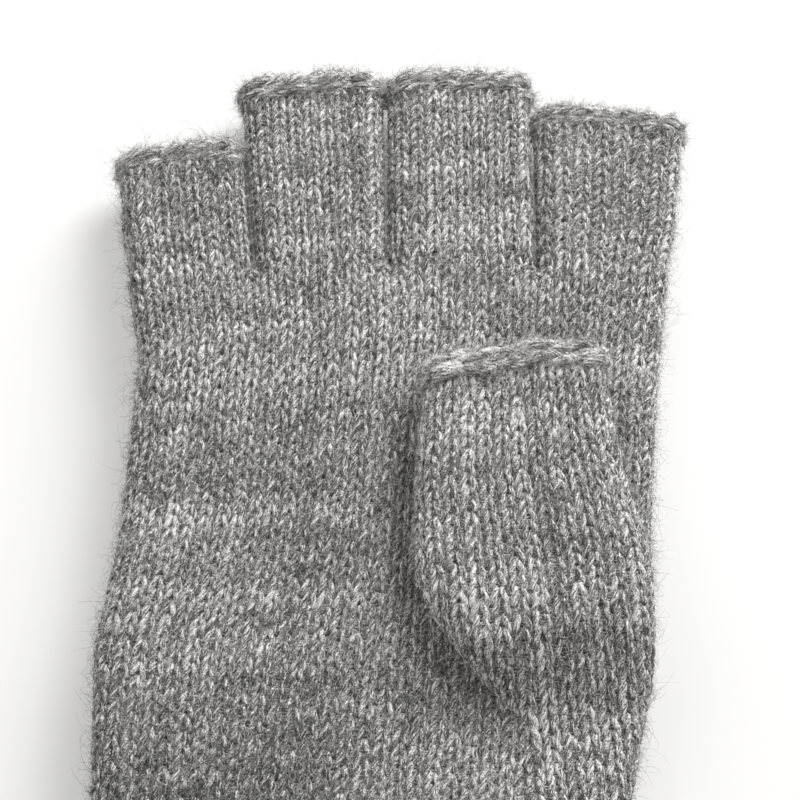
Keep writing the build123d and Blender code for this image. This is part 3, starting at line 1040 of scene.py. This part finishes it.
fabric = Fabric()
turn = way_round(400) * HAND_WALES
for layer, below in enumerate((0.5, 2.0)):
    row = np.full(len(turn), -0.5 - below / CUFF_LENGTH * CUFF_ROWS)
    path = on_cuff(turn, row, np.full(len(turn), 0.0))
    away = on_cuff(turn, row, np.full(len(turn), 1.0)) - path
    rope(fabric, path, unit(away), 420 + layer, ring=0.62, radius=0.6, pitch=7.0)
fabric.add("cast_on_yarn", on("hand"), "wool_edge", "cuff_cast_on_edge")
fuzz("cast_on_fuzz", fabric, on("hand"), "wool_edge", 2200, 500, 561)

# ---- flap

FLAP_WALES = 33
FLAP_PITCH = (FLAP_RIGHT - FLAP_LEFT) / FLAP_WALES
FLAP_SPACING = 2.2
FLAP_ROWS = 43
FLAP_ROOT_ROWS = 5
FLAP_BAND_ROWS = 5
FLAP_PALM_ROWS = round((HINGE_Y - FLAP_TIP_Y - FREE_EDGE - RIB_BAND) / FLAP_SPACING)
FLAP_INSET = 1.3
BACK_Z = HINGE_Z
FRONT_Z = WALL / 2
TILT = tan(radians(HINGE_TILT))
flap_middle = (FLAP_LEFT + FLAP_RIGHT) / 2
flap_half = (FLAP_RIGHT - FLAP_LEFT) / 2


def flap_keep(points):
    """Inside the flap's outline: straight sides and a half-ellipse at the tip."""
    x = (points[..., 0] - flap_middle) / (flap_half - FLAP_INSET)
    y = (FLAP_STRAIGHT_Y - points[..., 1]) / (FLAP_STRAIGHT_Y - FLAP_TIP_Y - FLAP_INSET)
    return (np.abs(x) < 1) & ((y < 0) | (x * x + y * y < 1))


def flap_sheet(middle_z, faces, last_offset, rows, root=False):
    """A panel's surface: row 0 is nearest the tip, and the last row ends last_offset below the hinge."""
    def place(wale, row, out):
        x = FLAP_LEFT + (wale + 0.5) * FLAP_PITCH
        offset = last_offset + (rows - 0.5 - row) * FLAP_SPACING
        y = HINGE_Y - offset + x * TILT
        z = middle_z + faces * out + 0.08 * waves(x, y, 41, (19, 27))
        if root:
            z = z + (SEAM_Z - 0.2 - middle_z) * smooth((4.5 - offset) / 4.5)
        return np.stack([x, y, z], -1)
    return place


def flap_panel(name, place, rows, seed, how, slot, node, radius=0.6, rib=None):
    fabric = Fabric()
    knit(fabric, place, FLAP_WALES, rows, seed, keep=flap_keep, closed=False, samples=12, radius=radius,
         rib=rib, sides=5)
    fabric.add(name, how, slot, node)
    return fabric


root_bend = between()
back = flap_sheet(BACK_Z, 1, -0.6, FLAP_ROWS, root=True)
back_rows = FLAP_ROWS - FLAP_ROOT_ROWS
flap_panel("flap_root_knit", rows_of(back, back_rows), FLAP_ROOT_ROWS, 600, root_bend, "wool_knit",
           "flap_back_panel")
fabric = flap_panel("flap_back_knit", back, back_rows, 610, on("flap"), "wool_knit", "flap_back_panel")
fuzz("flap_back_fuzz", fabric, on("flap"), "wool_knit", 5000, 500, 570)

front = flap_sheet(FRONT_Z, -1, FREE_EDGE + RIB_BAND, FLAP_PALM_ROWS)
fabric = flap_panel("flap_palm_knit", front, FLAP_PALM_ROWS, 620, on("flap_palm"), "wool_knit",
                    "flap_palm_panel")
fuzz("flap_palm_fuzz", fabric, on("flap_palm"), "wool_knit", 8000, 900, 571)

band = flap_sheet(FRONT_Z, -1, FREE_EDGE - 0.4, FLAP_BAND_ROWS)
fabric = flap_panel("flap_band_rib", band, FLAP_BAND_ROWS, 640, on("flap_palm"), "wool_rib", "flap_rib_band",
                    radius=0.56, rib=rib_2x2)
fuzz("flap_band_fuzz", fabric, on("flap_palm"), "wool_rib", 1500, 200, 572)

# The turned edge between the panels is drawn as it lies when the pocket is open, then pressed flat
EDGE_ROWS = 5
EDGE_PITCH = 2.5
open_share = np.linspace(0, 1, 400)
pressed_z = BACK_Z - (BACK_Z - FRONT_Z) * open_share
open_z = pressed_z - POCKET_OPEN * smooth(open_share)


def pressed(points):
    z = points[..., 2]
    flat = np.interp(z, open_z[::-1], pressed_z[::-1])
    flat = np.where(z > open_z[0], pressed_z[0] + z - open_z[0], flat)
    flat = np.where(z < open_z[-1], pressed_z[-1] + z - open_z[-1], flat)
    points[..., 2] = flat
    return points


def edge_path(kind, inset):
    """Points along the flap's edge, and the outward direction at each."""
    if kind == "tip":
        angle = np.linspace(pi, 2 * pi, 900)
        a = flap_half - inset
        b = FLAP_STRAIGHT_Y - FLAP_TIP_Y - inset
        path = np.stack([flap_middle + a * np.cos(angle), FLAP_STRAIGHT_Y + b * np.sin(angle)], -1)
        out = np.stack([b * np.cos(angle), a * np.sin(angle)], -1)
    else:
        side = -1 if kind == "left" else 1
        x = flap_middle + side * (flap_half - inset)
        y = np.linspace(HINGE_Y - FREE_EDGE + x * TILT, FLAP_STRAIGHT_Y, 200)
        path = np.stack([np.full(len(y), x), y], -1)
        out = np.tile([float(side), 0.0], (len(y), 1))
    return path, out / np.linalg.norm(out, axis=1, keepdims=True)


def on_edge(path, out, length, wales):
    def place(wale, row, off):
        at = (wale + 0.5) / wales * length[-1]
        xy = follow(path, length, at) + follow(out, length, at) * off[..., None]
        z = open_z[0] + (row + 0.5 - EDGE_ROWS) / EDGE_ROWS * (open_z[0] - open_z[-1])
        return np.concatenate([xy, z[..., None]], -1)
    return place


pocket_edge = between()
for kind, node in (("left", "flap_side_folds"), ("right", "flap_side_folds"), ("tip", "flap_tip_seam")):
    path, out = edge_path(kind, 0.95)
    length = distances(path)
    wales = int(length[-1] / EDGE_PITCH)
    fabric = Fabric()
    knit(fabric, on_edge(path, out, length, wales), wales, EDGE_ROWS, 660 + len(kind), closed=False,
         samples=12, radius=0.52, sides=5, deep=0.25)
    fabric.points = [pressed(points) for points in fabric.points]
    fabric.add(f"flap_edge_{kind}", pocket_edge, "wool_edge", node)

# Rolled seams round the two panels, where the turned edge meets them
left_side, tip, right_side = (edge_path(kind, 1.25)[0] for kind in ("left", "tip", "right"))
outline = np.concatenate([left_side[:-1], tip, right_side[::-1][1:]])
length = distances(outline)
at = np.arange(0, length[-1], 0.55)
for body, z, label in (("flap", BACK_Z, "back"), ("flap_palm", FRONT_Z, "palm")):
    fabric = Fabric()
    path = np.column_stack([follow(outline, length, at), np.full(len(at), z)])
    rope(fabric, path, UP, 680, ring=0.42, radius=0.46, pitch=6.0, closed=False, sides=5)
    fabric.add(f"flap_{label}_edge_yarn", on(body), "wool_edge")

# Seam that joins the flap to the hand
fabric = Fabric()
x = np.arange(FLAP_LEFT + 1.5, FLAP_RIGHT - 1.5, 0.4)
for layer, off in enumerate((-0.62, 0.62)):
    path = np.stack([x, HINGE_Y + off + x * TILT, np.full(len(x), SEAM_Z)], -1)
    rope(fabric, path, UP, 690 + layer, strands=2, ring=0.22, radius=0.32, pitch=5.0, closed=False, width=1.6)
fabric.add("joining_seam_yarn", on("hand"), "wool_edge", "flap_joining_seam")

# Stitches that close the crotches
fabric = Fabric()
z = np.linspace(HAND_Z + WALL, HAND_Z + WALL + BORE, 24)
for crotch_x, crotch_y, _ in crotches:
    path = np.stack([np.full(len(z), crotch_x), np.full(len(z), crotch_y - 2.4), z], -1)
    rope(fabric, path, TO_TIPS, 700, ring=0.6, radius=0.55, pitch=7.0, closed=False)
fabric.add("crotch_yarn", on("hand"), "wool_edge", "finger_crotch_stitches")

# ---- button, thread and loop

THREAD_STRANDS = 4
THREAD_STEP = 0.24
THREAD_RADIUS = 0.17
STITCH_HALF = 1.5


def rounded(path, step=0.2, passes=3):
    """A polyline with its corners cut round, resampled evenly."""
    path = np.array(path, float)
    for _ in range(passes):
        before = path[:-1] * 0.75 + path[1:] * 0.25
        after = path[:-1] * 0.25 + path[1:] * 0.75
        path = np.concatenate([path[:1], np.stack([before, after], 1).reshape(-1, 3), path[-1:]])
    length = distances(path)
    return follow(path, length, np.linspace(0, length[-1], max(8, int(length[-1] / step))))


# The thread goes through the cuff's back fabric and lies in two bars in the button's dish
fabric = Fabric()
inside_z = HAND_Z + (BUTTON_Y - WRIST_Y) * CUFF_RISE / CUFF_LENGTH + 0.6
for bar_x in (-STITCH_HALF, STITCH_HALF):
    for strand in range(THREAD_STRANDS):
        dx = (strand - (THREAD_STRANDS - 1) / 2) * THREAD_STEP
        x = bar_x + dx
        z = BUTTON_Z + BUTTON_DISH_DEPTH - 0.18 - 0.05 * (strand % 2)
        line = rounded([
            (x, BUTTON_Y - STITCH_HALF + 0.1 * dx, inside_z),
            (x, BUTTON_Y - STITCH_HALF, z),
            (bar_x + dx * 1.3, BUTTON_Y, z - 0.05),
            (x, BUTTON_Y + STITCH_HALF, z),
            (x, BUTTON_Y + STITCH_HALF, inside_z),
        ])
        out = np.broadcast_to(ACROSS, (1, *line.shape))
        fabric.tubes(line[None], out, THREAD_RADIUS, 0.5, closed=False, sides=5)
fabric.add("button_thread_strands", on("hand"), "thread", "button_thread", material=THREAD)

fabric = Fabric()
line = [(-LOOP_TURN, y, LOOP_Z) for y in (FLAP_TIP_Y + 2.5, FLAP_TIP_Y - 2, BUTTON_Y)]
for angle in np.linspace(0.2, pi - 0.2, 12):
    line.append((-LOOP_TURN * cos(angle), BUTTON_Y - LOOP_TURN * sin(angle), LOOP_Z))
line += [(LOOP_TURN, y, LOOP_Z) for y in (BUTTON_Y, FLAP_TIP_Y - 2, FLAP_TIP_Y + 2.5)]
line = rounded(line, step=0.25, passes=2)
rope(fabric, line, UP, 710, ring=0.3, radius=0.32, pitch=3.4, closed=False, wander=0.02)
fabric.add("loop_braid", on("flap"), "loop_cord", "button_loop")

fabric = Fabric()
y = FLAP_TIP_Y + 4.0
z = HINGE_Z + 0.9
for k in (-1, 0, 1):
    x = k * 1.6
    line = rounded([
        (x, y - 2.3, z - 0.8),
        (x + 0.1, y - 2.0, z + 0.25),
        (x, y, z + 0.35),
        (x - 0.1, y + 2.0, z + 0.25),
        (x, y + 2.3, z - 0.8),
    ])
    rope(fabric, line, ACROSS, 720 + k, strands=2, ring=0.16, radius=0.22, pitch=2.5, closed=False,
         wander=0.01, sides=5)
fabric.add("loop_anchor_yarn", on("flap"), "thread", "loop_anchor_stitch", material=THREAD)

# The button keeps its own shape
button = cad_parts["button"].data
button.materials.clear()
button.materials.append(horn("button_horn"))

# ---- floor and light

FLOOR_HALF = 3.0
FLOOR_Z = -0.0004


def add_floor():
    mesh = bpy.data.meshes.new("floor")
    square = [(x * FLOOR_HALF, y * FLOOR_HALF, FLOOR_Z) for x, y in ((-1, -1), (1, -1), (1, 1), (-1, 1))]
    mesh.from_pydata(square, [], [(0, 1, 2, 3)])
    material, _, _, shader = new_material("floor_paper")
    set_inputs(shader, {"Base Color": (0.6, 0.6, 0.595, 1), "Roughness": 0.8})
    set_inputs(shader, {"Emission Color": (1, 0.995, 0.985, 1), "Emission Strength": 0.25})
    new_piece("floor", mesh, [material])


def area_light(name, location, size, power):
    """A square lamp that faces the middle of the hand."""
    data = bpy.data.lights.new(name, "AREA")
    data.size = size
    data.energy = power
    light = bpy.data.objects.new(name, data)
    light.location = location
    light.rotation_euler = (Vector((0, 0.03, 0)) - Vector(location)).to_track_quat("-Z", "Y").to_euler()
    bpy.context.scene.collection.objects.link(light)


add_floor()
area_light("key", (0.27, 0.5, 0.44), 0.42, 5.8)
area_light("fill", (-0.6, 0.3, 0.9), 0.9, 2.5)
world = bpy.data.worlds.new("world")
world.use_nodes = True
set_inputs(world.node_tree.nodes["Background"], {"Color": (1, 0.99, 0.965, 1), "Strength": 0.5})
bpy.context.scene.world = world
bpy.context.scene.view_settings.view_transform = "Standard"
